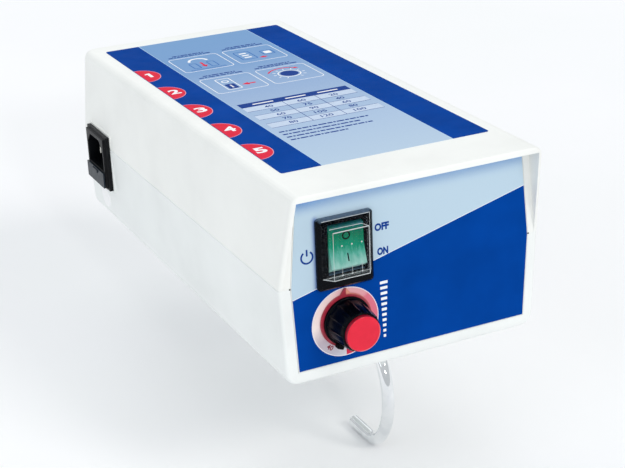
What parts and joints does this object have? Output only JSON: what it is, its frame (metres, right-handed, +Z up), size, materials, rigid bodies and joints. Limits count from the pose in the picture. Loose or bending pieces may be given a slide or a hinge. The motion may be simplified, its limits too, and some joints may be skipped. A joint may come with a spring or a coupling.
{
  "type": "compression therapy pump",
  "caption": "Bedside air pump for compression therapy: drafted two-shell housing with a covered rocker switch, a pressure knob, a mains inlet and a swivelling bed hook.",
  "frame": {"origin": "middle of the housing's flat underside", "axes": "+X to the right seen from the front, +Y from the front panel to the rear, +Z up"},
  "size_m": [0.1351, 0.3021, 0.1602],
  "materials": {
    "lower_housing": "moulded, fine matt texture, cool grey white",
    "upper_housing": "moulded, fine matt texture, warm white",
    "panel_plastic": "moulded, matt white",
    "label_blue": "printed polyester film, satin, dark and light blue",
    "sticker_white": "bare paper label, matt",
    "screw_steel": "zinc plated",
    "foot_rubber": "matt black rubber",
    "hook_chrome": "bright plated rod",
    "bearing_plastic": "moulded, matt",
    "switch_black": "satin black nylon",
    "rocker_green": "translucent green, glossy",
    "lamp_glass": "small clear lamp",
    "cover_clear": "soft clear cover",
    "brass_contact": "bare stamped brass",
    "dial_film": "printed film, white to red",
    "pointer_red": "dark red, satin",
    "knob_black": "glossy black, fluted",
    "cap_red": "glossy red",
    "valve_metal": "turned and die-cast, bare",
    "spindle_brass": "turned brass",
    "inlet_black": "matt black thermoplastic",
    "pin_steel": "nickel plated pins",
    "fuse_glass": "glass cartridge fuses",
    "nozzle_plastic": "moulded nylon, pale",
    "nut_steel": "plated nuts",
    "frame_steel": "zinc plated sheet and pins",
    "mount_rubber": "soft black rubber",
    "core_steel": "stacked steel sheets",
    "bobbin_plastic": "ivory nylon",
    "winding_copper": "enamelled copper wire",
    "magnet_dark": "ferrite",
    "diaphragm_rubber": "moulded rubber",
    "head_plastic": "glass-filled nylon, grey",
    "motor_metal": "pressed metal can",
    "distributor_plastic": "acetal, white",
    "rotor_plastic": "acetal, pale blue",
    "hose_clear": "soft translucent hose",
    "wire_brown": "insulated wire",
    "filter_foam": "open grey foam"
  },
  "bodies": {
    "case": {"lower_shell": "lower_housing", "upper_shell": "upper_housing", "front_panel": "panel_plastic", "rear_panel": "panel_plastic", "front_label": "label_blue", "top_label": "label_blue", "side_sticker": "sticker_white", "case_screws": "screw_steel", "rubber_feet": "foot_rubber", "foot_screws": "screw_steel", "hook_bearings": "bearing_plastic", "bearing_screws": "screw_steel", "switch_body": "switch_black", "switch_cover": "cover_clear", "switch_terminals": "brass_contact", "dial_plate": "dial_film", "pressure_valve": "valve_metal", "valve_nut": "nut_steel", "inlet_body": "inlet_black", "inlet_pins": "pin_steel", "inlet_terminals": "brass_contact", "outlet_nozzles": "nozzle_plastic", "nozzle_nuts": "nut_steel", "pump_frame": "frame_steel", "pump_mounts": "mount_rubber", "iron_core": "core_steel", "coil_bobbin": "bobbin_plastic", "coil_winding": "winding_copper", "diaphragms": "diaphragm_rubber", "pump_heads": "head_plastic", "head_covers": "head_plastic", "valve_motor": "motor_metal", "motor_screws": "screw_steel", "distributor_body": "distributor_plastic", "air_cross": "distributor_plastic", "supply_hoses": "hose_clear", "outlet_hoses": "hose_clear", "mains_wires": "wire_brown", "intake_filter": "filter_foam"},
    "rocker": {"switch_rocker": "rocker_green", "rocker_lamp": "lamp_glass"},
    "knob": {"pressure_knob": "knob_black", "knob_cap": "cap_red", "pointer_disc": "pointer_red", "valve_spindle": "spindle_brass"},
    "hook": {"hook_rod": "hook_chrome", "hook_collars": "hook_chrome"},
    "fuse_tray": {"fuse_drawer": "inlet_black", "fuses": "fuse_glass"},
    "left_arm": {"swing_arm_left": "frame_steel", "arm_magnet_left": "magnet_dark"},
    "right_arm": {"swing_arm_right": "frame_steel", "arm_magnet_right": "magnet_dark"},
    "distributor": {"distributor_rotor": "rotor_plastic"}
  },
  "joints": [
    {"name": "power_switch", "type": "hinge", "parent": "case", "child": "rocker", "pos_m": [-0.0339, -0.13, 0.06145], "axis": [1, 0, 0], "range_deg": [0, 18]},
    {"name": "pressure_turn", "type": "hinge", "parent": "case", "child": "knob", "pos_m": [-0.0343, -0.133, 0.0267], "axis": [0, 1, 0], "range_deg": [-150, 150]},
    {"name": "hook_swivel", "type": "hinge", "parent": "case", "child": "hook", "pos_m": [0.002, -0.0525, -0.004], "axis": [0, 1, 0], "range_deg": [-90, 90]},
    {"name": "fuse_tray_slide", "type": "slide", "parent": "case", "child": "fuse_tray", "axis": [-1, 0, 0], "range_m": [0, 0.018]},
    {"name": "left_arm_swing", "type": "hinge", "parent": "case", "child": "left_arm", "pos_m": [-0.012, 0.014, 0.0333], "axis": [0, 0, 1], "range_deg": [-1, 1], "stiffness_Nm_per_rad": 0.8},
    {"name": "right_arm_swing", "type": "hinge", "parent": "case", "child": "right_arm", "pos_m": [0.012, 0.014, 0.0333], "axis": [0, 0, 1], "range_deg": [-1, 1]},
    {"name": "distributor_turn", "type": "hinge", "parent": "case", "child": "distributor", "pos_m": [0.026, -0.06, 0.031], "axis": [0, 0, 1], "continuous": true}
  ],
  "couplings": [
    {"joint": "right_arm_swing", "follows": "left_arm_swing", "ratio": -1}
  ]
}
